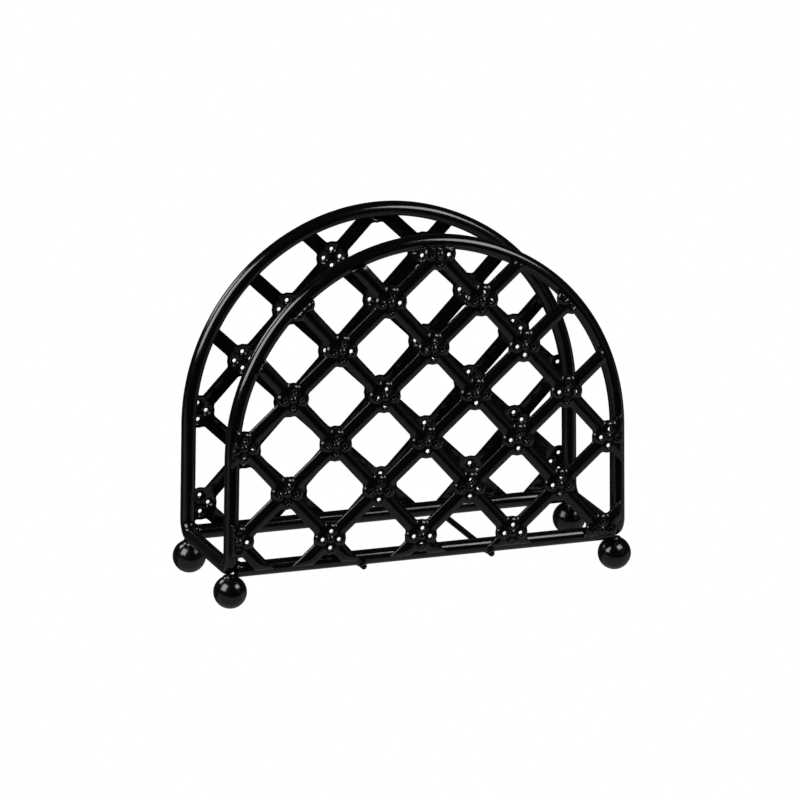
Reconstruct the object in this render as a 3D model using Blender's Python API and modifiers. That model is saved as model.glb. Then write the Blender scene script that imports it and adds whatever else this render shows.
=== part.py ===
"""A free-standing wire napkin holder: two arched panels of trellis strips on a welded wire frame with ball feet.

Metres, +Z up. The origin is on the table under the middle of the holder. +X runs along the panels and
the front panel is at -Y. Front and rear, left and right are as seen by someone facing the front panel.
"""

import math

import bmesh
import bpy
from mathutils import Matrix, Vector

# Frame: each arch is one wire, bent over the top and turned inwards at its two feet.
FRAME_WIDTH = 0.1524  # between the centrelines of an arch's legs
FRAME_DEPTH = 0.0508  # between the centrelines of the two arches
WIRE_RADIUS = 0.0028
LEG_HEIGHT = 0.0407  # from the rails' centreline to where the arch springs
ARCH_RISE = 0.0786  # from there to the top of the arch's centreline
FOOT_BEND_RADIUS = 0.0055
CROSS_WIRE_RADIUS = 0.0012
CROSS_WIRE_OFFSET = 0.0253  # each side of the middle
CROSS_WIRE_DROP = 0.0027  # below the rails' centreline, so the thin wires are sunk into the rails
CROSS_WIRE_OVERHANG = 0.0038  # past the rails' centreline at each end

# Ball feet
BALL_RADIUS = 0.00635
BALL_FLAT_HEIGHT = 0.00005  # ground off the bottom, so that each ball stands on a small flat
BALL_INSET = 0.0014  # inwards from the legs, under the bend
BALL_TO_RAIL = 0.0087  # from a ball's centre up to the rails' centreline
NECK_RADIUS = 0.0022
NECK_TOP_ABOVE_BALL_CENTRE = 0.0083

# Trellis: strips at 45 degrees to each other, with a four-lobed rosette at each crossing
STUD_PITCH = 0.0180  # between neighbouring rows, and between neighbouring columns, of rosettes
STRIP_WIDTH = 0.00535
STRIP_THICKNESS = 0.0020
STRIP_EDGE_SLOPE = 0.0014  # width of the sloping shoulder along each outer edge
PETAL_OFFSET = 0.0032
PETAL_RADIUS = 0.0029
ROSETTE_PROUD = 0.0006  # how far a rosette stands out from the strips
OUTLINE_SIDE = 0.0011  # how far the trellis laps over the legs, past their centrelines
OUTLINE_FOOT = 0.0008  # the same at the bottom rail
OUTLINE_TOP = -0.0010  # the same at the top of the arch, where it stops short of the centreline

GAP = 0.0003  # between pieces that touch
STRIP_GAP = 0.00035  # between the frame and the trellis welded onto it
FAR = 0.002  # how far a cutter reaches past what it cuts

RAIL_Z = BALL_RADIUS - BALL_FLAT_HEIGHT + BALL_TO_RAIL
SPRING_Z = RAIL_Z + LEG_HEIGHT
HALF_WIDTH = FRAME_WIDTH / 2
HALF_DEPTH = FRAME_DEPTH / 2
STRIP_BACK = WIRE_RADIUS + STRIP_GAP  # from an arch's centreline out to the back of its strips

# Each panel: side (-1 front, +1 rear), where its middle rosette sits above the rails, and its turn
PANELS = {
    "front": {"side": -1, "x": 0.0006, "z": 0.0611, "turn": math.radians(3.65)},
    "rear": {"side": 1, "x": 0.0008, "z": 0.0653, "turn": math.radians(-1.1)},
}
MIDDLE_ROW = 3  # the row of rosettes that a panel is placed by, counted up from the rail
STUD_ROWS = {
    0: (-4, -2, 0, 2, 4),
    1: (-3, -1, 1, 3),
    2: (-4, -2, 0, 2, 4),
    3: (-3, -1, 1, 3),
    4: (-2, 0, 2),
    5: (-3, -1, 1, 3),
    6: (0,),
}
RIM_STUDS = ((0, 6), (3, 5), (-3, 5))
RUN_OUT = 0.030  # how far a strip's blank runs past its end rosettes before it is trimmed
RIM_RUN_OUT = 0.002  # the same, where the end rosette is on the rim
FALLING_LINES = (-4, -2, 0, 2, 4, 6)  # column plus row is the same all along a falling strip
RISING_LINES = (4, 2, 0, -2, -4, -6)  # column minus row is the same all along a rising strip

WIRE_BLACK = (0.006, 0.006, 0.007)
TRELLIS_BLACK = (0.005, 0.005, 0.006)


def clear_scene():
    for obj in list(bpy.data.objects):
        bpy.data.objects.remove(obj)
    for name in ("napkin_holder", "cutters"):
        collection = bpy.data.collections.new(name)
        bpy.context.scene.collection.children.link(collection)


def paint(name, colour, roughness):
    material = bpy.data.materials.new(name)
    material.use_nodes = True
    shader = material.node_tree.nodes["Principled BSDF"]
    shader.inputs["Base Color"].default_value = (*colour, 1.0)
    shader.inputs["Roughness"].default_value = roughness
    shader.inputs["Metallic"].default_value = 0.0
    return material


def shade_round(mesh):
    mesh.shade_smooth()
    mesh.set_sharp_from_angle(angle=math.radians(35))


def add_part(name, mesh, material, matrix=None):
    """A finished piece, in the collection named for the object."""
    obj = bpy.data.objects.new(name, mesh)
    if matrix:
        obj.matrix_world = matrix
    mesh.materials.clear()
    mesh.materials.append(material)
    bpy.data.collections["napkin_holder"].objects.link(obj)
    return obj


def add_cutter(name, mesh):
    obj = bpy.data.objects.new(name, mesh)
    obj.hide_render = True
    obj.display_type = "WIRE"
    bpy.data.collections["cutters"].objects.link(obj)
    return obj


def boolean(obj, operation, other):
    modifier = obj.modifiers.new(f"{operation.lower()} {other.name}", "BOOLEAN")
    modifier.operation = operation
    modifier.solver = "EXACT"
    modifier.object = other


def mesh_of_curve(curve):
    """The curve's solid as a mesh, with its loose caps welded on."""
    guide = bpy.data.objects.new("guide", curve)
    bpy.context.scene.collection.objects.link(guide)
    evaluated = guide.evaluated_get(bpy.context.evaluated_depsgraph_get())
    mesh = bpy.data.meshes.new_from_object(evaluated)
    bpy.data.objects.remove(guide)
    solid = bmesh.new()
    solid.from_mesh(mesh)
    bmesh.ops.remove_doubles(solid, verts=solid.verts, dist=1e-6)
    bmesh.ops.recalc_face_normals(solid, faces=solid.faces)
    solid.to_mesh(mesh)
    solid.free()
    return mesh


def tube(points, radius, bevel_resolution):
    curve = bpy.data.curves.new("tube", "CURVE")
    curve.dimensions = "3D"
    curve.bevel_depth = radius
    curve.bevel_resolution = bevel_resolution
    curve.use_fill_caps = True
    spline = curve.splines.new("POLY")
    spline.points.add(len(points) - 1)
    for place, point in zip(spline.points, points):
        place.co = (*point, 1.0)
    return mesh_of_curve(curve)


def slab(outline, inner_y, outer_y, side):
    """A flat outline in X and Z, thickened from inner_y to outer_y on one side of the XZ plane."""
    curve = bpy.data.curves.new("slab", "CURVE")
    curve.dimensions = "2D"
    curve.fill_mode = "BOTH"
    curve.extrude = (outer_y - inner_y) / 2
    spline = curve.splines.new("POLY")
    spline.points.add(len(outline) - 1)
    for place, (x, z) in zip(spline.points, outline):
        place.co = (x, z, 0.0, 1.0)
    spline.use_cyclic_u = True
    mesh = mesh_of_curve(curve)
    upright = Matrix.Rotation(math.radians(90), 4, "X")
    middle = Vector((0.0, side * (inner_y + outer_y) / 2, 0.0))
    mesh.transform(Matrix.Translation(middle) @ upright)
    return mesh


def join(meshes, name):
    joined = bmesh.new()
    for mesh in meshes:
        joined.from_mesh(mesh)
    result = bpy.data.meshes.new(name)
    joined.to_mesh(result)
    joined.free()
    return result


def arc(centre, start_vector, end_vector, steps):
    """Points from centre + start_vector to centre + end_vector along a quarter of an ellipse."""
    points = []
    for step in range(steps + 1):
        angle = math.pi / 2 * step / steps
        points.append(centre + start_vector * math.cos(angle) + end_vector * math.sin(angle))
    return points


def arch_route(side, left_end_y, right_end_y):
    """The centreline of one arch wire, from its left foot over the top to its right foot."""
    y = side * HALF_DEPTH
    bend_y = y - side * FOOT_BEND_RADIUS
    bend_z = RAIL_Z + FOOT_BEND_RADIUS
    inwards = Vector((0.0, side * FOOT_BEND_RADIUS, 0.0))
    down = Vector((0.0, 0.0, -FOOT_BEND_RADIUS))
    spring = Vector((0.0, y, SPRING_Z))
    across = Vector((HALF_WIDTH, 0.0, 0.0))
    up = Vector((0.0, 0.0, ARCH_RISE))
    left_bend = Vector((-HALF_WIDTH, bend_y, bend_z))
    right_bend = Vector((HALF_WIDTH, bend_y, bend_z))
    route = [Vector((-HALF_WIDTH, left_end_y, RAIL_Z))]
    route += arc(left_bend, down, inwards, 6)
    route += arc(spring, -across, up, 20)
    route += arc(spring, up, across, 20)[1:]
    route += arc(right_bend, inwards, down, 6)
    route += [Vector((HALF_WIDTH, right_end_y, RAIL_Z))]
    return route


def make_arch_wires(material):
    """Each arch's feet run inwards to the middle of the sides, where the two wires are butt-welded."""
    for name, side in (("front_arch_wire", -1), ("rear_arch_wire", 1)):
        end_y = side * GAP / 2
        mesh = tube(arch_route(side, end_y, end_y), WIRE_RADIUS, 4)
        shade_round(mesh)
        add_part(name, mesh, material)


def cylinder(radius, length, segments):
    mesh = bpy.data.meshes.new("cylinder")
    solid = bmesh.new()
    bmesh.ops.create_cone(
        solid, cap_ends=True, segments=segments, radius1=radius, radius2=radius, depth=length
    )
    solid.to_mesh(mesh)
    solid.free()
    return mesh


def along_x(mesh, place):
    mesh.transform(Matrix.Translation(place) @ Matrix.Rotation(math.radians(90), 4, "Y"))
    return mesh


def along_y(mesh, place):
    mesh.transform(Matrix.Translation(place) @ Matrix.Rotation(math.radians(90), 4, "X"))
    return mesh


def cross_wire_place(side):
    return Vector((side * CROSS_WIRE_OFFSET, 0.0, RAIL_Z - CROSS_WIRE_DROP))


def make_bottom_rails(material):
    """A straight rail between the legs of each arch, with two saddles for the cross wires."""
    length = FRAME_WIDTH - 2 * (WIRE_RADIUS + GAP)
    saddles = [
        along_y(cylinder(CROSS_WIRE_RADIUS + GAP, FRAME_DEPTH + 6 * WIRE_RADIUS, 10), cross_wire_place(side))
        for side in (-1, 1)
    ]
    saddle_cutter = add_cutter("saddles", join(saddles, "saddles"))
    for name, side in (("front_bottom_rail", -1), ("rear_bottom_rail", 1)):
        mesh = along_x(cylinder(WIRE_RADIUS, length, 16), Vector((0.0, side * HALF_DEPTH, RAIL_Z)))
        shade_round(mesh)
        boolean(add_part(name, mesh, material), "DIFFERENCE", saddle_cutter)


def make_cross_wires(material):
    """The two thin wires under the rails that a stack of napkins stands on."""
    length = FRAME_DEPTH + 2 * CROSS_WIRE_OVERHANG
    for name, side in (("left_cross_wire", -1), ("right_cross_wire", 1)):
        mesh = along_y(cylinder(CROSS_WIRE_RADIUS, length, 10), cross_wire_place(side))
        shade_round(mesh)
        add_part(name, mesh, material)


def ball_profile():
    """The turned outline of a ball foot and its weld neck, from the top of the axis down to the flat."""
    centre_z = BALL_RADIUS - BALL_FLAT_HEIGHT
    neck_top = centre_z + NECK_TOP_ABOVE_BALL_CENTRE
    collar_angle = math.asin(NECK_RADIUS * 1.3 / BALL_RADIUS)
    flat_angle = math.acos(-(BALL_RADIUS - BALL_FLAT_HEIGHT) / BALL_RADIUS)
    profile = [(0.0, neck_top), (NECK_RADIUS, neck_top)]
    profile += [(NECK_RADIUS, centre_z + BALL_RADIUS * 1.01)]
    steps = 8
    for step in range(steps + 1):
        angle = collar_angle + (flat_angle - collar_angle) * step / steps
        profile.append((BALL_RADIUS * math.sin(angle), centre_z + BALL_RADIUS * math.cos(angle)))
    profile += [(0.0, 0.0)]
    return profile


def turned(profile, segments):
    outline = bpy.data.meshes.new("profile")
    points = [(x, 0.0, z) for x, z in profile]
    outline.from_pydata(points, [(i, i + 1) for i in range(len(points) - 1)], [])
    guide = bpy.data.objects.new("guide", outline)
    bpy.context.scene.collection.objects.link(guide)
    screw = guide.modifiers.new("turn", "SCREW")
    screw.steps = segments
    screw.render_steps = segments
    screw.use_merge_vertices = True
    screw.merge_threshold = 1e-5
    evaluated = guide.evaluated_get(bpy.context.evaluated_depsgraph_get())
    mesh = bpy.data.meshes.new_from_object(evaluated)
    bpy.data.objects.remove(guide)
    return mesh


def make_ball_feet(material):
    """Four balls, each under the bend of a leg, with a neck whose top is saddled to the wire."""
    wires = [tube(arch_route(side, 0.0, 0.0), WIRE_RADIUS + GAP, 4) for side in (-1, 1)]
    wire_cutter = add_cutter("arch_wire_clearance", join(wires, "arch_wire_clearance"))
    for y_name, y_side in (("front", -1), ("rear", 1)):
        for x_name, x_side in (("left", -1), ("right", 1)):
            mesh = turned(ball_profile(), 16)
            place = Vector((x_side * HALF_WIDTH, y_side * (HALF_DEPTH - BALL_INSET), 0.0))
            mesh.transform(Matrix.Translation(place))
            shade_round(mesh)
            ball = add_part(f"{y_name}_{x_name}_ball_foot", mesh, material)
            boolean(ball, "DIFFERENCE", wire_cutter)


def stud_place(panel, column, row):
    """Where a rosette's centre is, in X and Z."""
    across = column * STUD_PITCH
    up = (row - MIDDLE_ROW) * STUD_PITCH
    cos, sin = math.cos(panel["turn"]), math.sin(panel["turn"])
    return (
        panel["x"] + across * cos + up * sin,
        RAIL_Z + panel["z"] - across * sin + up * cos,
    )


def quatrefoil(panel, centre, grow):
    """The rosette's outline, grown all round by the given amount, starting at the lobe on the right."""
    reach = PETAL_OFFSET / math.sqrt(2)
    waist = reach + math.sqrt((PETAL_RADIUS + grow) ** 2 - reach**2)
    outline = []
    for lobe in range(4):
        lobe_angle = lobe * math.pi / 2 - panel["turn"]
        for turn in (-60, 0, 60):
            angle = lobe_angle + math.radians(turn)
            outline.append(
                (
                    PETAL_OFFSET * math.cos(lobe_angle) + (PETAL_RADIUS + grow) * math.cos(angle),
                    PETAL_OFFSET * math.sin(lobe_angle) + (PETAL_RADIUS + grow) * math.sin(angle),
                )
            )
        waist_angle = lobe_angle + math.pi / 4
        outline.append((waist * math.cos(waist_angle), waist * math.sin(waist_angle)))
    return [(centre[0] + x, centre[1] + z) for x, z in outline]


def panel_outline():
    """The trellis's outline: straight sides and foot, elliptical top."""
    half = HALF_WIDTH + OUTLINE_SIDE
    rise = ARCH_RISE + OUTLINE_TOP
    foot = RAIL_Z - OUTLINE_FOOT
    steps = 32
    outline = [(-half, foot), (half, foot)]
    for step in range(steps + 1):
        angle = math.pi * step / steps
        outline.append((half * math.cos(angle), SPRING_Z + rise * math.sin(angle)))
    return outline


def strip_blank(panel, low_stud, high_stud, angle):
    """A strip with sloping outer shoulders, run past its end rosettes so that the outline trims it.

    Past a rosette on the rim it stops short, under the rosette.
    """
    side = panel["side"]
    direction = Vector((math.cos(angle), 0.0, math.sin(angle)))
    if direction.z < 0:
        direction.negate()
    middle_y = side * (HALF_DEPTH + STRIP_BACK + STRIP_THICKNESS / 2)
    low_x, low_z = stud_place(panel, *low_stud)
    high_x, high_z = stud_place(panel, *high_stud)
    low = Vector((low_x, middle_y, low_z)) - direction * RUN_OUT
    high = Vector((high_x, middle_y, high_z)) + direction * (RIM_RUN_OUT if high_stud in RIM_STUDS else RUN_OUT)
    length = (high - low).length
    solid = bmesh.new()
    bmesh.ops.create_cube(solid, size=1.0)
    bmesh.ops.scale(solid, vec=(length, STRIP_THICKNESS, STRIP_WIDTH), verts=solid.verts)
    shoulders = [
        edge
        for edge in solid.edges
        if all(vert.co.y * side > 0 for vert in edge.verts)
        and abs(edge.verts[0].co.x - edge.verts[1].co.x) > length / 2
    ]
    bmesh.ops.bevel(
        solid, geom=shoulders, offset=STRIP_EDGE_SLOPE, offset_type="OFFSET", segments=1, affect="EDGES"
    )
    mesh = bpy.data.meshes.new("strip")
    solid.to_mesh(mesh)
    solid.free()
    mesh.transform(Matrix.Translation((low + high) / 2) @ Matrix.Rotation(-angle, 4, "Y"))
    return mesh


def lap_notch(panel, centre, angle, inner_y, outer_y):
    """The room that one strip leaves for the strip crossing it, as a short box turned to that strip."""
    half_length = STRIP_WIDTH
    half_width = STRIP_WIDTH / 2 + GAP
    corners = (
        (-half_length, -half_width),
        (half_length, -half_width),
        (half_length, half_width),
        (-half_length, half_width),
    )
    cos, sin = math.cos(angle), math.sin(angle)
    outline = [(centre[0] + u * cos - v * sin, centre[1] + u * sin + v * cos) for u, v in corners]
    return slab(outline, inner_y, outer_y, panel["side"])


def make_strip(name, panel, falling, line, outline_cutter, material):
    """One strip, half-lapped at each crossing.

    A falling strip is the outer one and carries the rosettes. A rising strip passes behind them, and
    carries a rosette only where no falling strip crosses it.
    """
    studs = [
        (column, row)
        for row, columns in STUD_ROWS.items()
        for column in columns
        if (column + row if falling else column - row) == line
    ]
    slope = -math.pi / 4 if falling else math.pi / 4
    angle = slope - panel["turn"]
    crossing_angle = -slope - panel["turn"]
    side = panel["side"]
    back = HALF_DEPTH + STRIP_BACK
    middle = back + STRIP_THICKNESS / 2
    front = back + STRIP_THICKNESS + ROSETTE_PROUD
    pads = []
    notches = []
    for column, row in studs:
        centre = stud_place(panel, column, row)
        crossed = (column - row in RISING_LINES) if falling else (column + row in FALLING_LINES)
        if falling or not crossed:
            pads.append(slab(quatrefoil(panel, centre, 0.0), middle + GAP, front, side))
        if crossed and falling:
            notches.append(lap_notch(panel, centre, crossing_angle, back - FAR, middle + GAP / 2))
        if crossed and not falling:
            notches.append(slab(quatrefoil(panel, centre, GAP), middle - GAP / 2, front + FAR, side))
    strip = add_part(name, strip_blank(panel, studs[0], studs[-1], angle), material)
    if pads:
        boolean(strip, "UNION", add_cutter(f"{name}_pads", join(pads, f"{name}_pads")))
    boolean(strip, "INTERSECT", outline_cutter)
    boolean(strip, "DIFFERENCE", add_cutter(f"{name}_notches", join(notches, f"{name}_notches")))


def make_trellis(material):
    inner_y = HALF_DEPTH + STRIP_BACK - FAR
    outer_y = HALF_DEPTH + STRIP_BACK + STRIP_THICKNESS + 2 * FAR
    for panel_name, panel in PANELS.items():
        prism = slab(panel_outline(), inner_y, outer_y, panel["side"])
        outline_cutter = add_cutter(f"{panel_name}_outline", prism)
        for kind, lines in (("falling", FALLING_LINES), ("rising", RISING_LINES)):
            for number, line in enumerate(lines, start=1):
                name = f"{panel_name}_{kind}_strip_{number}"
                make_strip(name, panel, kind == "falling", line, outline_cutter, material)


def main():
    clear_scene()
    wire_paint = paint("wire_paint", WIRE_BLACK, 0.12)
    ball_paint = paint("ball_paint", WIRE_BLACK, 0.08)
    trellis_paint = paint("trellis_paint", TRELLIS_BLACK, 0.18)
    make_arch_wires(wire_paint)
    make_bottom_rails(wire_paint)
    make_cross_wires(wire_paint)
    make_ball_feet(ball_paint)
    make_trellis(trellis_paint)


main()
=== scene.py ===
"""Looks for the wire napkin holder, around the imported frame: gloss black wire, ball feet and two trellis panels."""

import math

import bpy
import numpy as np
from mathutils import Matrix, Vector
from mathutils.geometry import delaunay_2d_cdt


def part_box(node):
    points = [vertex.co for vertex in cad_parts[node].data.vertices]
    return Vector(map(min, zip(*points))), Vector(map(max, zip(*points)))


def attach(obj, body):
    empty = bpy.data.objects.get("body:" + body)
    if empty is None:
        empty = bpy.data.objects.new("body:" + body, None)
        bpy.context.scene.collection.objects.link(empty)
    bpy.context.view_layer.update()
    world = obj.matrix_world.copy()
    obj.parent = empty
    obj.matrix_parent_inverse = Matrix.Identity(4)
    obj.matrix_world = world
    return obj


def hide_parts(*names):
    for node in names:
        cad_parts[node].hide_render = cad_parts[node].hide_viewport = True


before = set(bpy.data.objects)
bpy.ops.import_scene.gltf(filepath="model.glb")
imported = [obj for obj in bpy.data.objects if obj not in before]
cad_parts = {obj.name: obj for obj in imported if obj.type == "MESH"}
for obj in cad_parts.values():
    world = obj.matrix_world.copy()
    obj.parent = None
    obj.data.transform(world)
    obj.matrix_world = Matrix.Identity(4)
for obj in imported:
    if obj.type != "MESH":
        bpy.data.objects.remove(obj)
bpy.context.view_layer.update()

MM = 0.001


# ---------------------------------------------------------------- the frame's own sizes, in millimetres
def cad_box(node):
    low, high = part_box(node)
    return np.array(low) / MM, np.array(high) / MM


rail_low, rail_high = cad_box("front_bottom_rail")
_, arch_high = cad_box("front_arch_wire")
cross_low, cross_high = cad_box("right_cross_wire")
ball_low, ball_high = cad_box("front_right_ball_foot")

WIRE_R = 2.8  # of the arches and rails
RAIL_Z = (rail_low[2] + rail_high[2]) / 2
HALF_DEPTH = -(rail_low[1] + rail_high[1]) / 2
HALF_WIDTH = arch_high[0] - WIRE_R
ARCH_TOP = arch_high[2] - WIRE_R
LEG_HEIGHT = 40.7  # from the rails' centrelines up to where the arches spring
SPRING_Z = RAIL_Z + LEG_HEIGHT
ARCH_RISE = ARCH_TOP - SPRING_Z
FOOT_BEND_R = 5.5  # of the bend at the foot of each leg, on the centreline
CROSS_R = (cross_high[0] - cross_low[0]) / 2
CROSS_X = (cross_low[0] + cross_high[0]) / 2
CROSS_Z = (cross_low[2] + cross_high[2]) / 2
CROSS_END = cross_high[1]  # half the length of a cross wire
BALL_R = min((ball_high[0] - ball_low[0]) / 2, (ball_high[1] - ball_low[1]) / 2)
BALL_X = (ball_low[0] + ball_high[0]) / 2
BALL_Y = -(ball_low[1] + ball_high[1]) / 2
BALL_Z = ball_low[2] + BALL_R

STUD_PITCH = 18.0  # between neighbouring rows, and between neighbouring columns, of rosettes
MIDDLE_ROW = 3  # the row of rosettes that a panel is placed by, counted up from the rail
# Each panel's side of the holder, where its middle row's centre sits above the rails, and its turn
PANELS = {
    "front": {"side": -1, "x": 0.6, "z": 61.1, "turn": math.radians(3.65)},
    "rear": {"side": 1, "x": 0.8, "z": 65.3, "turn": math.radians(-1.1)},
}

WIRE_SIDES, CROSS_SIDES, BALL_SIDES = 28, 20, 48
SHARP_ANGLE, TRELLIS_SHARP_ANGLE = 60, 50  # degrees above which an edge is shaded sharp
FAR_AWAY = 1e9


# ---------------------------------------------------------------- meshes
def new_object(name, verts, faces, sharp_angle=SHARP_ANGLE):
    mesh = bpy.data.meshes.new(name)
    mesh.from_pydata([tuple(v) for v in np.asarray(verts) * MM], [], faces)
    mesh.update()
    mesh.shade_smooth()
    mesh.set_sharp_from_angle(angle=math.radians(sharp_angle))
    obj = bpy.data.objects.new(name, mesh)
    bpy.context.scene.collection.objects.link(obj)
    return obj


def tube_rings(points, radius, sides, taper=None):
    """An (n, sides, 3) array of rings of vertices round a smooth route. The taper scales each ring's radius."""
    points = np.asarray(points, float)
    tangents = np.gradient(points, axis=0)
    tangents /= np.linalg.norm(tangents, axis=1)[:, None]
    normal = np.cross(tangents[0], [0.3, 0.2, 1.0])
    rings = []
    for index, (point, tangent) in enumerate(zip(points, tangents)):
        normal = normal - tangent * (normal @ tangent)
        normal /= np.linalg.norm(normal)
        other = np.cross(tangent, normal)
        here = radius * (taper[index] if taper is not None else 1.0)
        angle = np.arange(sides) * 2 * math.pi / sides
        rings.append(point + here * (np.outer(np.cos(angle), normal) + np.outer(np.sin(angle), other)))
    return np.array(rings)


def ring_faces(count, sides):
    faces = []
    for ring in range(count - 1):
        for k in range(sides):
            a = ring * sides + k
            b = ring * sides + (k + 1) % sides
            faces.append((a, b, b + sides, a + sides))
    return faces


def closed_tube(rings):
    """Vertices and faces of a tube with both ends closed by a fan."""
    count, sides = rings.shape[:2]
    verts = list(rings.reshape(-1, 3)) + [rings[0].mean(0), rings[-1].mean(0)]
    faces = ring_faces(count, sides)
    first, last = count * sides, count * sides + 1
    for k in range(sides):
        n = (k + 1) % sides
        faces.append((first, n, k))
        faces.append((last, (count - 1) * sides + k, (count - 1) * sides + n))
    return np.array(verts), faces


def rounded_ends(length, radius, dense):
    """Positions along a straight wire and the share of its radius at each, with its ends rounded off."""
    edge = 0.35 * radius
    cap_places = [0.0, 0.12 * edge, 0.4 * edge, edge]
    cap_tapers = [0.55, 0.72, 0.88, 1.0]
    inner = sorted(set(np.round(np.concatenate([[edge * 1.5], *dense, [length - edge * 1.5]]), 4)))
    inner = [p for p in inner if edge < p < length - edge]
    places = cap_places + inner + [length - p for p in cap_places[::-1]]
    tapers = cap_tapers + [1.0] * len(inner) + cap_tapers[::-1]
    return np.array(places), np.array(tapers)


def smooth_min(a, b, k):
    """The lesser of two distances, with a fillet where they are within k of each other."""
    h = np.clip(0.5 + 0.5 * (b - a) / k, 0, 1)
    return b * (1 - h) + a * h - k * h * (1 - h)


def settle(points, field, steps):
    """Moves points onto the zero surface of a distance field."""
    probe, least_slope, longest_move = 0.02, 0.05, 0.8
    points = np.array(points, float)
    offsets = np.eye(3) * probe
    for _ in range(steps):
        value = field(points)
        grad = np.stack([(field(points + o) - field(points - o)) / (2 * probe) for o in offsets], axis=1)
        size = np.maximum((grad**2).sum(1), least_slope)
        move = grad * (value / size)[:, None]
        reach = np.linalg.norm(move, axis=1)
        move *= np.minimum(1.0, longest_move / np.maximum(reach, 1e-9))[:, None]
        points -= move
    return points


def segment_distance(points, a, b):
    a, b = np.asarray(a, float), np.asarray(b, float)
    t = np.clip(((points - a) @ (b - a)) / ((b - a) @ (b - a)), 0, 1)
    return np.linalg.norm(points - a - t[:, None] * (b - a), axis=1)


def route_distance(points, route):
    best = np.full(len(points), FAR_AWAY)
    for a, b in zip(route[:-1], route[1:]):
        best = np.minimum(best, segment_distance(points, a, b))
    return best


def quarter(centre, start, end, steps):
    """Points from centre + start to centre + end along a quarter of an ellipse."""
    angle = np.linspace(0, math.pi / 2, steps + 1)[:, None]
    return np.asarray(centre) + np.asarray(start) * np.cos(angle) + np.asarray(end) * np.sin(angle)


def bent_by_hand(points):
    """The legs splay a little at the feet, the left one leans in at its top, and the right shoulder is a bit flat."""
    left_foot, left_top = 0.15, -0.4
    right_foot, right_top = 0.45, -0.05
    lean_fade = 60  # height above the spring of the arch over which a leg's lean dies out
    flat_depth, flat_angle, flat_spread = 0.45, 68, 17  # the angles are degrees up from the right spring
    x, z = points[:, 0], points[:, 2]
    up = np.clip((z - RAIL_Z - FOOT_BEND_R) / (LEG_HEIGHT - FOOT_BEND_R), 0, 1)
    over = np.maximum(z - SPRING_Z, 0)
    angle = np.degrees(np.arctan2(over / ARCH_RISE, x / HALF_WIDTH))
    foot, top = np.where(x > 0, right_foot, left_foot), np.where(x > 0, right_top, left_top)
    leg = (foot + (top - foot) * up) * np.clip(1 - over / lean_fade, 0, 1)
    out = np.stack([np.sign(x), np.zeros(len(x)), np.zeros(len(x))], axis=1) * leg[:, None]
    radial = np.stack([x, np.zeros(len(x)), over], axis=1) / np.hypot(x, over + 1e-6)[:, None]
    flat = -flat_depth * np.exp(-(((angle - flat_angle) / flat_spread) ** 2)) * (over > 0)
    return points + out + radial * flat[:, None]


def arch_route(side):
    """The centreline of an arch wire, from its left butt end mid-side over to its right one."""
    y = side * HALF_DEPTH
    bend_y, bend_z = y - side * FOOT_BEND_R, RAIL_Z + FOOT_BEND_R
    inwards, down = (0, side * FOOT_BEND_R, 0), (0, 0, -FOOT_BEND_R)
    spring, across, up = (0, y, SPRING_Z), np.array((HALF_WIDTH, 0, 0)), np.array((0, 0, ARCH_RISE))
    left = np.array((-HALF_WIDTH, bend_y, bend_z))
    right = np.array((HALF_WIDTH, bend_y, bend_z))
    run = np.linspace(0, bend_y, 10)[:-1]
    leg = np.linspace(bend_z, SPRING_Z, 14)[1:-1]
    parts = [
        np.array([(-HALF_WIDTH, v, RAIL_Z) for v in run]),
        quarter(left, down, inwards, 12),
        np.array([(-HALF_WIDTH, y, z) for z in leg]),
        quarter(spring, -across, up, 60),
        quarter(spring, up, across, 60)[1:],
        np.array([(HALF_WIDTH, y, z) for z in leg[::-1]]),
        quarter(right, inwards, down, 12),
        np.array([(HALF_WIDTH, v, RAIL_Z) for v in run[::-1]]),
    ]
    return bent_by_hand(np.concatenate(parts))


def make_arch(name, side):
    verts, faces = closed_tube(tube_rings(arch_route(side), WIRE_R, WIRE_SIDES))
    finish_piece(new_object(f"{name}_arch", verts, faces), "wire_paint", f"{name}_arch_wire")


def make_rail(name, side):
    """A bottom rail whose ends flare into the legs, and which dips round the cross wires."""
    weld_fillet, cross_fillet = 1.6, 1.5
    y = side * HALF_DEPTH
    end = HALF_WIDTH - 0.6 * WIRE_R
    near_end = end - np.array([0, 0.4, 0.8, 1.2, 1.6, 2.0, 2.4, 2.8, 3.3, 3.8, 4.4, 5.2])  # closer where it flares
    near_cross = CROSS_X + np.linspace(-4, 4, 21)
    places = np.concatenate([near_end, near_cross, np.linspace(0, end - 6, 12)])
    places = np.unique(np.round(np.concatenate([places, -places]), 4))
    verts, faces = closed_tube(tube_rings([(x, y, RAIL_Z) for x in places], WIRE_R, WIRE_SIDES))
    legs = [((s * HALF_WIDTH, y, RAIL_Z + 2), (s * HALF_WIDTH, y, SPRING_Z)) for s in (-1, 1)]
    bends = [arch_route(side)[6:26], arch_route(side)[-26:-6]]
    crosses = [((s * CROSS_X, -CROSS_END, CROSS_Z), (s * CROSS_X, CROSS_END, CROSS_Z)) for s in (-1, 1)]

    def field(p):
        value = segment_distance(p, (-200, y, RAIL_Z), (200, y, RAIL_Z)) - WIRE_R
        for a, b in legs:
            value = smooth_min(value, segment_distance(p, a, b) - WIRE_R, weld_fillet)
        for bend in bends:
            value = smooth_min(value, route_distance(p, bend) - WIRE_R, weld_fillet)
        for a, b in crosses:
            value = smooth_min(value, segment_distance(p, a, b) - CROSS_R, cross_fillet)
        return value

    body, end_centres = verts[:-2], verts[-2:]
    moved = settle(body, field, steps=5)
    in_leg = np.abs(body[:, 0]) > end - 0.3
    moved[in_leg] = body[in_leg]
    verts = np.concatenate([moved, end_centres])
    finish_piece(new_object(f"{name}_rail", verts, faces), "wire_paint", f"{name}_bottom_rail")


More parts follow.
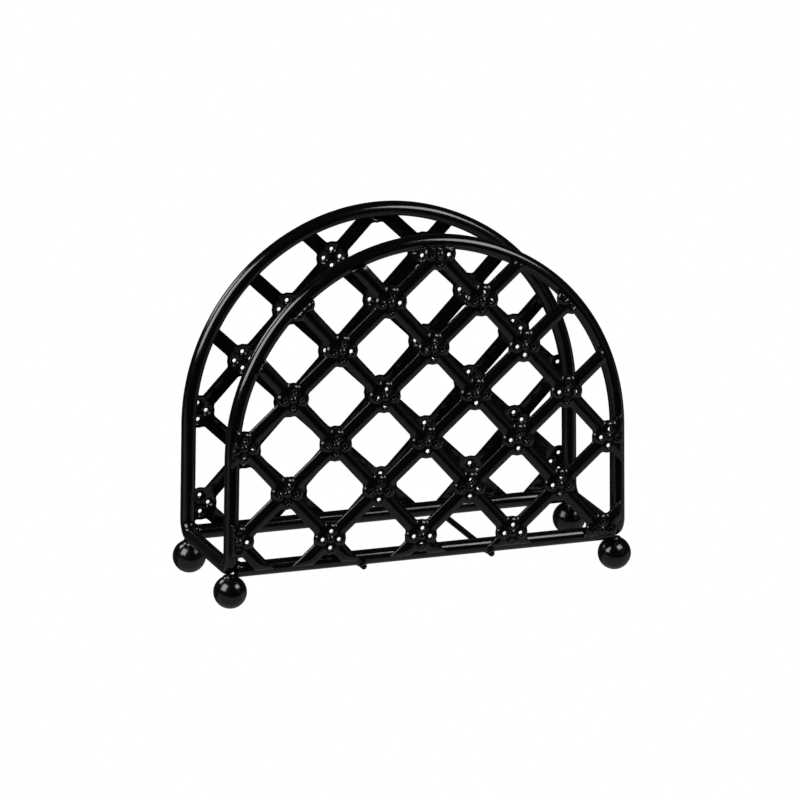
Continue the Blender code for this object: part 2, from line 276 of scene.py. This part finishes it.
def make_cross_wire(name, side):
    x = side * CROSS_X
    length = 2 * CROSS_END
    rails = (CROSS_END - HALF_DEPTH, CROSS_END + HALF_DEPTH)
    near_rails = np.concatenate([rail + np.linspace(-4, 4, 17) for rail in rails])
    places, tapers = rounded_ends(length, CROSS_R, [near_rails, np.linspace(3, length - 3, 9)])
    rings = tube_rings([(x, p - CROSS_END, CROSS_Z) for p in places], CROSS_R, CROSS_SIDES, tapers)
    verts, faces = closed_tube(rings)
    finish_piece(new_object(f"{name}_cross", verts, faces), "wire_paint", f"{name}_cross_wire")


def make_ball(name, x_side, y_side):
    """A ball foot whose top runs up in a weld neck round the bend of the leg."""
    neck_radius, neck_low, neck_high = 2.0, BALL_R - 1.0, BALL_R + 1.6
    neck_fillet, wire_fillet = 1.0, 1.7
    centre = np.array((x_side * BALL_X, y_side * BALL_Y, BALL_Z))
    polar = np.concatenate([np.linspace(0.03, 0.9, 30), np.linspace(0.9, math.pi - 0.05, 30)[1:]])
    angle = np.arange(BALL_SIDES) * 2 * math.pi / BALL_SIDES
    rings = []
    for a in polar:
        level = np.full(BALL_SIDES, np.cos(a))
        ring = np.stack([np.sin(a) * np.cos(angle), np.sin(a) * np.sin(angle), level], axis=1)
        rings.append(centre + BALL_R * ring)
    verts, faces = closed_tube(np.array(rings))
    route = arch_route(y_side)
    bend = route[4:32] if x_side < 0 else route[-32:-4]

    def field(p):
        ball = np.linalg.norm(p - centre, axis=1) - BALL_R
        neck = segment_distance(p, centre + (0, 0, neck_low), centre + (0, 0, neck_high)) - neck_radius
        wire = route_distance(p, bend) - WIRE_R
        return smooth_min(smooth_min(ball, neck, neck_fillet), wire, wire_fillet)

    upper = verts[:, 2] > centre[2]
    verts[upper] = settle(verts[upper], field, steps=10)
    verts[:, 2] = np.maximum(verts[:, 2], ball_low[2])
    faces = [face[::-1] for face in faces]
    finish_piece(new_object(f"{name}_ball", verts, faces), "ball_paint", f"{name}_ball_foot")


# ---------------------------------------------------------------- trellis
BAR_HALF = 2.8
BAR_TOP = 2.0  # heights are above the plane of the sheet's back
BAR_ARC, BAR_ARC_HALF = 4.5, 3.6  # radius of a bar's domed front, and how far from its middle the dome runs
EDGE_ROUND = 0.22
SHEET = 1.7  # thickness of the pressed sheet, paint and all
HOLE_SHEET = 0.55  # the same at the edge of a hole, where it is drawn thin
PETAL_OFFSET = 3.2  # from a rosette's centre
PETAL_R = 3.05
PETAL_TOP = 2.2
PETAL_FALL, PETAL_EDGE = 1.0, 3.0  # how much lower a petal is at its edge, and how far out that is
FALL_REACH, FALL_POWER = 2.2, 2.2  # how far past the lip it goes on falling, and how late it falls
HOLE_R = 0.75
HOLE_EDGE = 1.65  # height of the front at the edge of a hole
LIP_R = 1.28  # where a petal stands proudest, around its hole
DIMPLE = 0.45  # depth of the dimple in a petal that has a wire behind it in place of a hole
DOME_R, DOME_ARC, DOME_TOP = 1.35, 1.7, 2.7  # the domed centre of a rosette
VALLEY = 1.9  # height of the front between a rosette's petals
CREASE = 0.3  # the fillet between a bar's front and a petal's
BARS_DIP = (2.6, 4.4)  # distances from a rosette's centre over which the bars come up from the valley
PETALS_DIP = (1.2, 1.85)  # the same for the petals
WEB = 1.2  # how widely bars and petals flow into each other
PANEL_BACK = WIRE_R - 0.05  # the back of the sheet, out from the wires' centrelines
OUT_SIDE, OUT_FOOT, OUT_TOP = 1.1, 0.3, -1.0  # how far the sheet laps over the wires, past their centrelines
OUTLINE_ROUND = 0.5  # the fillet where the bars' edges meet the outline
OUT_FADE = 28  # height over which the lap goes from that of the sides to that of the top
LEG_RAMP, ARCH_RAMP, FOOT_RAMP = 1.2, 0.5, 2.4  # the lengths over which the front runs down onto the wires
RAMP_FADE = 15  # height over which the ramp goes from that of the legs to that of the arch
HOLLOW = (0.2, 2.0)  # distances in from the edge over which the back hollows out
SINK, SINK_FADE = 0.5, (0.3, 1.3)  # how deep the back sinks into the wires, and how far in it stops
ROOT2 = math.sqrt(2)
ROW_SHIFT = MIDDLE_ROW * STUD_PITCH
EVEN_ROW, ODD_ROW = (-4, -2, 0, 2, 4), (-3, -1, 1, 3)
STUD_ROWS = (EVEN_ROW, ODD_ROW, EVEN_ROW, ODD_ROW, (-2, 0, 2), ODD_ROW, (0,))  # upwards, in stud pitches
STUD_PLACES = np.array(
    [(i * STUD_PITCH, (j - MIDDLE_ROW) * STUD_PITCH) for j, columns in enumerate(STUD_ROWS) for i in columns]
)
PETAL_TURNS = PETAL_OFFSET * np.array([(1, 0), (0, 1), (-1, 0), (0, -1)])
FALLING, RISING = (-4, -2, 0, 2, 4, 6), (4, 2, 0, -2, -4, -6)  # where the bars cross the foot, in stud pitches


def step(x, low, high):
    """0 below low, 1 above high, and smooth between them."""
    t = np.clip((x - low) / (high - low), 0, 1)
    return t * t * (3 - 2 * t)


def bar_distances(points):
    """Distance from the centreline of the nearest falling bar and of the nearest rising bar."""
    fall = (points[:, 0] + points[:, 1] + ROW_SHIFT) / ROOT2
    rise = (points[:, 0] - points[:, 1] - ROW_SHIFT) / ROOT2
    near_fall = np.min([np.abs(fall - k * STUD_PITCH / ROOT2) for k in FALLING], axis=0)
    near_rise = np.min([np.abs(rise - k * STUD_PITCH / ROOT2) for k in RISING], axis=0)
    return near_fall, near_rise


def in_panel(points, panel):
    """X, and height, of places given across and up a panel from its middle row."""
    cos, sin = math.cos(panel["turn"]), math.sin(panel["turn"])
    x = panel["x"] + points[:, 0] * cos + points[:, 1] * sin
    return x, RAIL_Z + panel["z"] - points[:, 0] * sin + points[:, 1] * cos


def wire_behind(points, panel):
    """Distance from each place to the centreline of the nearest wire behind the sheet."""
    x, z = in_panel(points, panel)
    arch = np.abs(np.hypot(x / HALF_WIDTH, (z - SPRING_Z) / ARCH_RISE) - 1) * HALF_WIDTH
    leg = np.abs(np.abs(x) - HALF_WIDTH)
    return np.minimum(np.abs(z - RAIL_Z), np.where(z > SPRING_Z, arch, leg))


def near_places(points, places):
    """Distance from each point to the nearest of the places, where one is within reach."""
    best = np.full(len(points), FAR_AWAY)
    for place in places:
        off = points - place
        reach = np.abs(off).max(axis=1) < STUD_PITCH / 2
        best[reach] = np.minimum(best[reach], np.hypot(off[reach, 0], off[reach, 1]))
    return best


PETAL_PLACES = (STUD_PLACES[:, None] + PETAL_TURNS).reshape(-1, 2)
for panel_data in PANELS.values():  # a petal is pierced unless a wire is behind its middle
    panel_data["open"] = PETAL_PLACES[wire_behind(PETAL_PLACES, panel_data) > WIRE_R - 0.5]


def outline_distances(points, panel):
    """How far outside the panel's outline each place is: past its sides and arched top, and past its foot."""
    x, z = in_panel(points, panel)
    past = OUT_TOP + (OUT_SIDE - OUT_TOP) * (1 - step(z, SPRING_Z, SPRING_Z + OUT_FADE))
    top = (np.hypot(x / HALF_WIDTH, (z - SPRING_Z) / ARCH_RISE) - 1) * HALF_WIDTH
    return np.where(z > SPRING_Z, top, np.abs(x) - HALF_WIDTH) - past, RAIL_Z - OUT_FOOT - z


def sheet_distance(points, panel):
    """Signed distance from the edge of the sheet, below zero inside it, before its holes are pierced."""
    fall, rise = bar_distances(points)
    body = smooth_min(np.minimum(fall, rise) - BAR_HALF, near_places(points, PETAL_PLACES) - PETAL_R, WEB)
    return -smooth_min(-body, -np.maximum(*outline_distances(points, panel)), OUTLINE_ROUND)


def pierced_distance(points, panel):
    return np.maximum(sheet_distance(points, panel), HOLE_R - near_places(points, panel["open"]))


def slope_of(field, points, panel):
    probe = 0.01
    probes = np.array(((probe, 0), (0, probe)))
    return np.stack([(field(points + d, panel) - field(points - d, panel)) / (2 * probe) for d in probes], axis=1)


def trace_edges(panel):
    """The closed edges of the sheet and of its holes: places, and the pairs of places that are joined."""
    pace, half_width, half_height = 0.3, 84, 72
    p = np.arange(-half_width, half_width + pace, pace)
    q = np.arange(-half_height, half_height + pace, pace)
    grid = np.stack(np.meshgrid(p, q, indexing="ij"), axis=-1)
    value = pierced_distance(grid.reshape(-1, 2), panel).reshape(grid.shape[:2])
    inside = value < 0
    places = []

    def crossings(a, b, va, vb, mask):
        """Adds the places where the edges cross the grid's lines, and numbers them."""
        ids = np.full(mask.shape, -1)
        start = sum(len(x) for x in places)
        t = va[mask] / (va[mask] - vb[mask])
        places.append(a[mask] + (b[mask] - a[mask]) * t[:, None])
        ids[mask] = start + np.arange(mask.sum())
        return ids

    along_p = crossings(grid[:-1], grid[1:], value[:-1], value[1:], inside[:-1] != inside[1:])
    mixed = inside[:, :-1] != inside[:, 1:]
    along_q = crossings(grid[:, :-1], grid[:, 1:], value[:, :-1], value[:, 1:], mixed)
    sides = np.stack([along_p[:, :-1], along_q[1:], along_p[:, 1:], along_q[:-1]], axis=-1)
    pairs = []
    for i, j in np.argwhere((sides >= 0).any(axis=-1)):
        ids = [v for v in sides[i, j] if v >= 0]
        if len(ids) == 2:
            pairs.append(tuple(ids))
        elif len(ids) == 4:
            a, b, c, d = ids
            middle = value[i : i + 2, j : j + 2].mean() < 0
            pairs += [(a, b), (c, d)] if inside[i, j] == middle else [(a, d), (b, c)]
    points = np.concatenate(places)
    for _ in range(3):  # from the grid's straight lines onto the true edge
        slope = slope_of(pierced_distance, points, panel)
        points = points - slope * (pierced_distance(points, panel) / np.maximum((slope**2).sum(1), 0.2))[:, None]
    return thin_loops(points, pairs)


def thin_loops(points, pairs):
    """Drops places that crowd their neighbours or lie on a straight run between them."""
    crowding, straightness = 0.1, 0.007
    near = [[] for _ in points]
    for a, b in pairs:
        near[a].append(b)
        near[b].append(a)
    alive = np.array([len(n) == 2 for n in near])
    for longest in (0.3, 0.6, 1.0, 1.6):
        kept_now = set()
        for v in range(len(points)):
            if not alive[v] or v in kept_now:
                continue
            a, b = near[v]
            if a == b or b in near[a]:
                continue
            chord, from_a, from_b = points[b] - points[a], points[v] - points[a], points[v] - points[b]
            length = math.hypot(*chord)
            off = abs(chord[0] * from_a[1] - chord[1] * from_a[0]) / max(length, 1e-9)
            crowd = min(math.hypot(*from_a), math.hypot(*from_b)) < crowding
            if length < longest and (off < straightness or crowd):
                alive[v] = False
                near[a][near[a].index(v)] = b
                near[b][near[b].index(v)] = a
                kept_now |= {a, b}
    index = np.cumsum(alive) - 1
    pairs = {(min(v, w), max(v, w)) for v in range(len(points)) if alive[v] for w in near[v]}
    return points[alive], [(int(index[a]), int(index[b])) for a, b in pairs]


def ramp(distance, length):
    """A quarter of an ellipse: 0 at the edge, steep there, and 1 from the given length inwards."""
    share = np.clip(distance / length, 0, 1)
    return np.sqrt(1 - (1 - share) ** 2)


def front_height(points, panel):
    """Height of the pressed front above the plane of the sheet's back."""
    near = np.minimum(*bar_distances(points))
    stud = near_places(points, STUD_PLACES)
    petal = near_places(points, PETAL_PLACES)
    bar = np.minimum(BAR_TOP - BAR_ARC + np.sqrt(BAR_ARC**2 - np.minimum(near, BAR_ARC_HALF) ** 2), BAR_TOP)
    bar = np.where(stud < BARS_DIP[1], VALLEY + (bar - VALLEY) * step(stud, *BARS_DIP), bar)
    outer = PETAL_TOP - PETAL_FALL * (np.clip(petal - LIP_R, 0, FALL_REACH) / (PETAL_EDGE - LIP_R)) ** FALL_POWER
    pierced = HOLE_EDGE + (PETAL_TOP - HOLE_EDGE) * ramp(petal - HOLE_R + 0.02, LIP_R - HOLE_R + 0.02)
    dimpled = PETAL_TOP - DIMPLE * (1 - step(petal, 0.1, LIP_R))
    inner = np.where(near_places(points, panel["open"]) < LIP_R, pierced, dimpled)
    bead = np.where(petal < LIP_R, inner, outer)
    bead = np.where(petal < LIP_R, bead, VALLEY + (bead - VALLEY) * step(stud, *PETALS_DIP))
    height = np.where(petal < PETAL_R + 0.35, -smooth_min(-bar, -bead, CREASE), bar)
    height = np.where(petal < LIP_R, inner, height)
    dome = DOME_TOP - DOME_ARC + np.sqrt(DOME_ARC**2 - np.minimum(stud, DOME_R) ** 2)
    height = np.where(stud < DOME_R, np.maximum(height, dome), height)
    sides, foot = outline_distances(points, panel)
    above = step(in_panel(points, panel)[1], SPRING_Z, SPRING_Z + RAMP_FADE)
    height = height * ramp(-sides, LEG_RAMP + (ARCH_RAMP - LEG_RAMP) * above) * ramp(-foot, FOOT_RAMP)
    return height - EDGE_ROUND * np.minimum(1, height) * (1 - ramp(-sheet_distance(points, panel), EDGE_ROUND))


def back_height(points, panel):
    """Height of the pressed back above its plane. It dips into the wires behind the sides and foot."""
    depth = -sheet_distance(points, panel)
    hole = near_places(points, panel["open"])
    sheet = HOLE_SHEET + (SHEET - HOLE_SHEET) * step(hole, HOLE_R, HOLE_R + 1.0)
    hollow = np.maximum(front_height(points, panel) - sheet, 0) * step(depth, *HOLLOW)
    return hollow - SINK * (1 - step(-np.maximum(*outline_distances(points, panel)), *SINK_FADE))


def circle(radius, count):
    angle = (np.arange(count) + 0.5) * 2 * math.pi / count
    return radius * np.stack([np.cos(angle), np.sin(angle)], axis=1)


# Radius of each ring of places and how many it has, for the front of the sheet and for its plainer back
FINE_PETAL = ((0.84, 22), (0.93, 22), (1.08, 22), (1.28, 24), (1.55, 24), (1.8, 24), (2.1, 26), (2.4, 26), (2.68, 28))
FINE_DOME = ((0.001, 1), (0.35, 10), (0.7, 14), (1.0, 18), (1.2, 20), (1.34, 22), (1.45, 22), (1.62, 22))
COARSE_PETAL, COARSE_DOME = ((1.5, 14), (2.2, 14)), ((0.001, 1), (0.9, 8))
# How far from a bar's middle its rows of places run, and how far apart the places are
FINE_ROWS, FINE_PACE = (0.0, 0.65, 1.3, 1.9), 1.5
COARSE_ROWS, COARSE_PACE = (0.0, 1.4), 3.0
ROSETTE_REACH = 5.4  # the rows on the bars stop this far from a rosette's centre


def inner_places(petal_rings, dome_rings, rows, pace):
    """Places inside the sheet that follow the petals, domes and bars."""
    places = []
    for place in STUD_PLACES:
        for turn in PETAL_TURNS:
            for radius, count in petal_rings:
                ring = circle(radius, count) + turn
                own = ring @ turn / PETAL_OFFSET
                other = np.abs(ring @ turn[::-1]) / PETAL_OFFSET
                places.append(ring[(own > other + 0.08) & (np.hypot(*ring.T) > 1.75)] + place)
        for radius, count in dome_rings:
            places.append(circle(radius, count) + place)
    for lines, flip in ((FALLING, -1), (RISING, 1)):
        for k in lines:
            for row in sorted({s * r for r in rows for s in (-1, 1)}):
                across, along = k * STUD_PITCH / ROOT2 + row, np.arange(-110, 110, pace)
                p = (across + along) / ROOT2
                q = flip * (along - across) / ROOT2 - ROW_SHIFT
                line = np.stack([p, q], axis=1)
                places.append(line[near_places(line, STUD_PLACES) > ROSETTE_REACH])
    places = np.concatenate(places)
    return places[(np.abs(places) < 90).all(axis=1)]


def fill_sheet(rim, pairs, inner, panel):
    """Triangles that fill the sheet between its edges, and where each place of the rim went among their corners."""
    least_depth, least_area = 0.002, 1e-7
    result = delaunay_2d_cdt([Vector(v) for v in np.concatenate([rim, inner])], pairs, [], 0, 1e-5, True)
    flat = np.array([tuple(v) for v in result[0]])
    faces = np.array(result[2])
    corner = {source: k for k, sources in enumerate(result[3]) for source in sources if source < len(rim)}
    on_rim = np.isin(np.arange(len(flat)), list(corner.values()))
    good = ~on_rim[faces].all(axis=1) | (pierced_distance(flat[faces].mean(1), panel) < -least_depth)
    side_a, side_b = flat[faces[:, 1]] - flat[faces[:, 0]], flat[faces[:, 2]] - flat[faces[:, 0]]
    area = side_a[:, 0] * side_b[:, 1] - side_a[:, 1] * side_b[:, 0]
    good &= np.abs(area) > least_area
    faces, area = faces[good], area[good]
    faces[area < 0] = faces[area < 0][:, ::-1]
    return flat, faces, corner


def open_edges(faces):
    """The edges that only one of the triangles has, each in that triangle's direction."""
    directed = np.concatenate([faces[:, [0, 1]], faces[:, [1, 2]], faces[:, [2, 0]]])
    keys = set(map(tuple, directed.tolist()))
    return [e for e in keys if (e[1], e[0]) not in keys]


def make_trellis(name):
    """One panel: a pressed front, a nearly flat back, and walls between them along every edge."""
    front_insets, back_inset = (0.03, 0.09, 0.16, 0.25), 0.45  # rows of places just inside the edges
    wall_inset = 0.06  # rings on the walls, this far from the front and from the back
    panel = PANELS[name]
    side = panel["side"]
    rim, pairs = trace_edges(panel)
    slope = slope_of(pierced_distance, rim, panel)
    slope /= np.maximum(np.linalg.norm(slope, axis=1), 1e-6)[:, None]
    rows = []
    outer_edge = near_places(rim, panel["open"]) > HOLE_R + 0.2
    for inset in front_insets:
        row = rim[outer_edge] - slope[outer_edge] * inset
        rows.append(row[pierced_distance(row, panel) < -0.8 * inset])
    fine = inner_places(FINE_PETAL, FINE_DOME, FINE_ROWS, FINE_PACE)
    coarse = inner_places(COARSE_PETAL, COARSE_DOME, COARSE_ROWS, COARSE_PACE)
    fine = fine[(sheet_distance(fine, panel) < -0.5) & (pierced_distance(fine, panel) < -0.02)]
    coarse = coarse[pierced_distance(coarse, panel) < -0.4]
    base_y = HALF_DEPTH + PANEL_BACK

    def in_space(flat, height):
        x, z = in_panel(flat, panel)
        return np.stack([x, side * (base_y + height), z], axis=1)

    flat, faces, corner = fill_sheet(rim, pairs, np.concatenate([fine, *rows]), panel)
    back_rows = rim - slope * back_inset
    back_rows = back_rows[pierced_distance(back_rows, panel) < -0.3]
    back_flat, back_faces, back_corner = fill_sheet(rim, pairs, np.concatenate([coarse, back_rows]), panel)
    rim_front, rim_back = front_height(rim, panel), back_height(rim, panel)
    tall = rim_front - rim_back
    upper = in_space(rim, rim_front - np.minimum(wall_inset, 0.2 * tall))
    lower = in_space(rim, rim_back + np.minimum(wall_inset, 0.2 * tall))
    top, back = in_space(flat, front_height(flat, panel)), in_space(back_flat, back_height(back_flat, panel))
    verts = np.concatenate([top, back, upper, lower])
    shift = len(flat)
    first = shift + len(back_flat)
    second = first + len(rim)
    # The rear panel is a mirror image, so its faces turn the other way round.
    built = [tuple(f) for f in (faces[:, ::-1] if side > 0 else faces).tolist()]
    built += [tuple(f) for f in ((back_faces if side > 0 else back_faces[:, ::-1]) + shift).tolist()]
    source = {corner[k]: k for k in range(len(rim)) if k in corner}
    for a, b in open_edges(faces):
        rim_a, rim_b = source[a], source[b]
        down_a = (a, first + rim_a, second + rim_a, shift + back_corner[rim_a])
        down_b = (b, first + rim_b, second + rim_b, shift + back_corner[rim_b])
        for k in range(3):
            face = (down_a[k], down_a[k + 1], down_b[k + 1], down_b[k])
            built.append(face[::-1] if side > 0 else face)
    used = sorted({v for f in built for v in f})
    remap = {v: k for k, v in enumerate(used)}
    built = [tuple(remap[v] for v in f) for f in built]
    obj = new_object(f"{name}_trellis", verts[used], built, TRELLIS_SHARP_ANGLE)
    nodes = [f"{name}_{kind}_strip_{n}" for kind in ("falling", "rising") for n in range(1, 7)]
    finish_piece(obj, "trellis_paint", *nodes)


# ---------------------------------------------------------------- materials
PAINT_TONES = ((0.0005, 0.0005, 0.0006, 1), (0.0012, 0.0012, 0.0013, 1))


def add_node(tree, kind, settings=()):
    node = tree.nodes.new(f"ShaderNode{kind}")
    for name, value in dict(settings).items():
        node.inputs[name].default_value = value
    return node


def paint(name, roughness, spread, run_scale, run_mm, peel_scale, peel_mm):
    """Thick gloss black paint: orange peel, slow runs, and small changes of gloss and tone."""
    material = bpy.data.materials.new(name)
    material.use_nodes = True
    tree = material.node_tree
    link = tree.links.new
    shader = tree.nodes["Principled BSDF"]
    shader.inputs["IOR"].default_value = 1.5
    where = add_node(tree, "TexCoord")
    runs = add_node(tree, "TexNoise", {"Scale": run_scale, "Detail": 3})
    peel = add_node(tree, "TexNoise", {"Scale": peel_scale, "Detail": 2})
    for texture in (runs, peel):
        link(where.outputs["Object"], texture.inputs["Vector"])
    gloss_range = {"To Min": roughness - spread, "To Max": roughness + spread}
    gloss = add_node(tree, "MapRange", {"From Min": 0.35, "From Max": 0.65, **gloss_range})
    link(runs.outputs["Fac"], gloss.inputs["Value"])
    link(gloss.outputs["Result"], shader.inputs["Roughness"])
    tone = add_node(tree, "ValToRGB")
    for element, colour in zip(tone.color_ramp.elements, PAINT_TONES):
        element.color = colour
    link(runs.outputs["Fac"], tone.inputs["Fac"])
    link(tone.outputs["Color"], shader.inputs["Base Color"])
    run_bump = add_node(tree, "Bump", {"Strength": 1.0, "Distance": run_mm * MM})
    link(runs.outputs["Fac"], run_bump.inputs["Height"])
    peel_bump = add_node(tree, "Bump", {"Strength": 1.0, "Distance": peel_mm * MM})
    link(peel.outputs["Fac"], peel_bump.inputs["Height"])
    link(run_bump.outputs["Normal"], peel_bump.inputs["Normal"])
    link(peel_bump.outputs["Normal"], shader.inputs["Normal"])
    return material


PAINTS = {
    "wire_paint": paint("wire_gloss_black", 0.13, 0.03, 180, 0.05, 900, 0.003),
    "ball_paint": paint("ball_gloss_black", 0.16, 0.03, 180, 0.04, 700, 0.003),
    "trellis_paint": paint("trellis_gloss_black", 0.15, 0.04, 330, 0.07, 1100, 0.004),
}


def finish_piece(obj, slot, *replaced):
    obj.data.materials.append(PAINTS[slot])
    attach(obj, "root")
    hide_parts(*replaced)


# ---------------------------------------------------------------- the object
for panel_name, panel_side in (("front", -1), ("rear", 1)):
    make_arch(panel_name, panel_side)
    make_rail(panel_name, panel_side)
    make_trellis(panel_name)
    for side_name, x_side in (("left", -1), ("right", 1)):
        make_ball(f"{panel_name}_{side_name}", x_side, panel_side)
for side_name, x_side in (("left", -1), ("right", 1)):
    make_cross_wire(side_name, x_side)


# ---------------------------------------------------------------- camera
AZIMUTH, ELEVATION, ROLL = math.radians(19.758), math.radians(16.008), math.radians(0.216)
DISTANCE = 3.18455
LENS = 383.52
TARGET = Vector((-0.00102, 0.0, 0.05163 + RAIL_Z * MM))
level = math.cos(ELEVATION)
forward = Vector((math.sin(AZIMUTH) * level, math.cos(AZIMUTH) * level, -math.sin(ELEVATION)))
camera_data = bpy.data.cameras.new("camera")
camera_data.lens = LENS
camera_data.sensor_width = 36
camera_data.clip_end = 50
camera = bpy.data.objects.new("camera", camera_data)
bpy.context.scene.collection.objects.link(camera)
camera.location = TARGET - forward * DISTANCE
camera.rotation_euler = forward.to_track_quat("-Z", "Y").to_matrix().to_4x4().to_euler()
camera.rotation_euler.rotate_axis("Z", ROLL)
bpy.context.scene.camera = camera


# ---------------------------------------------------------------- floor, world and lights
FLOOR_HALF = 6.0
CARD_DROP = 0.127
# Behind the object the grey card dims: a painted shadow of the object on the table, seen only in the gloss.
CARD_NEAR, CARD_SHADOW_EDGES = (-0.405, -0.345), (0.07, 0.16)  # where the grey card fades out, along Y
CARD_NEAR_LEVELS, CARD_SHADOW_LEVELS = (0.06, 1.0), (1.0, 0.15)
SOFTBOX_AIM = Vector((0, 0, 0.07))


def glow_material(name, strength, faded=False):
    """Plain emission that can fade out towards the near edge of the grey card, and dim towards its far edge as a
    painted shadow of the object.
    """
    material = bpy.data.materials.new(name)
    material.use_nodes = True
    tree = material.node_tree
    link = tree.links.new
    tree.nodes.clear()
    out = add_node(tree, "OutputMaterial")
    glow = add_node(tree, "Emission", {"Strength": strength})
    link(glow.outputs["Emission"], out.inputs["Surface"])
    if faded:
        where = add_node(tree, "TexCoord")
        split = add_node(tree, "SeparateXYZ")
        link(where.outputs["Object"], split.inputs["Vector"])
        both, scaled = add_node(tree, "Math"), add_node(tree, "Math")
        both.operation = scaled.operation = "MULTIPLY"
        for k, (edges, levels) in enumerate(((CARD_NEAR, CARD_NEAR_LEVELS), (CARD_SHADOW_EDGES, CARD_SHADOW_LEVELS))):
            fade = add_node(tree, "MapRange")
            fade.interpolation_type = "SMOOTHSTEP"
            fade.inputs["From Min"].default_value, fade.inputs["From Max"].default_value = edges
            fade.inputs["To Min"].default_value, fade.inputs["To Max"].default_value = levels
            link(split.outputs["Y"], fade.inputs["Value"])
            link(fade.outputs["Result"], both.inputs[k])
        scaled.inputs[1].default_value = strength
        link(both.outputs["Value"], scaled.inputs[0])
        link(scaled.outputs["Value"], glow.inputs["Strength"])
    return material


def stage_plane(name, height, material):
    h = FLOOR_HALF
    mesh = bpy.data.meshes.new(name)
    mesh.from_pydata([(-h, -h, 0), (h, -h, 0), (h, h, 0), (-h, h, 0)], [], [(0, 1, 2, 3)])
    mesh.materials.append(material)
    plane = bpy.data.objects.new(name, mesh)
    plane.location.z = height
    bpy.context.scene.collection.objects.link(plane)
    return plane


# The floor is plain white to the camera. What gloss paint mirrors is a grey card below it, which fades out in
# front of the object, and dims behind it as a painted shadow of the object on the table.
floor = stage_plane("floor", 0.0, glow_material("pale_floor", 1.0))
floor.visible_glossy = False
floor.visible_diffuse = False
floor.visible_shadow = False
card = stage_plane("grey_card", -CARD_DROP, glow_material("grey_card", 0.31, faded=True))
card.visible_camera = False

# The world is white to the camera and nearly dark to everything else.
world = bpy.data.worlds.new("studio")
bpy.context.scene.world = world
world.use_nodes = True
world_tree = world.node_tree
world_tree.nodes.clear()
world_out = add_node(world_tree, "OutputWorld")
white = add_node(world_tree, "Background")
dark = add_node(world_tree, "Background", {"Color": (0.03, 0.03, 0.03, 1)})
world_path = add_node(world_tree, "LightPath")
world_mix = add_node(world_tree, "MixShader")
world_tree.links.new(world_path.outputs["Is Camera Ray"], world_mix.inputs["Fac"])
world_tree.links.new(dark.outputs["Background"], world_mix.inputs[1])
world_tree.links.new(white.outputs["Background"], world_mix.inputs[2])
world_tree.links.new(world_mix.outputs["Shader"], world_out.inputs["Surface"])


def softbox(name, place, width, height, radiance):
    """A soft box that faces the object and stays out of the camera's view."""
    data = bpy.data.lights.new(name, "AREA")
    data.shape = "RECTANGLE"
    data.size = width
    data.size_y = height
    data.energy = radiance * math.pi * width * height
    light = bpy.data.objects.new(name, data)
    light.location = Vector(place)
    light.rotation_euler = (SOFTBOX_AIM - light.location).to_track_quat("-Z", "Y").to_euler()
    light.visible_camera = False
    bpy.context.scene.collection.objects.link(light)


softbox("left_softbox", (-0.485, -0.17, 0.375), 0.36, 0.42, 7.0)
softbox("right_softbox", (0.225, -0.262, 0.318), 0.23, 0.18, 7.0)
softbox("right_card", (0.30, -0.33, 0.09), 0.18, 0.18, 0.11)
softbox("back_left_softbox", (-0.22, 0.16, 0.22), 0.10, 0.10, 7.0)

bpy.context.scene.view_settings.view_transform = "Standard"
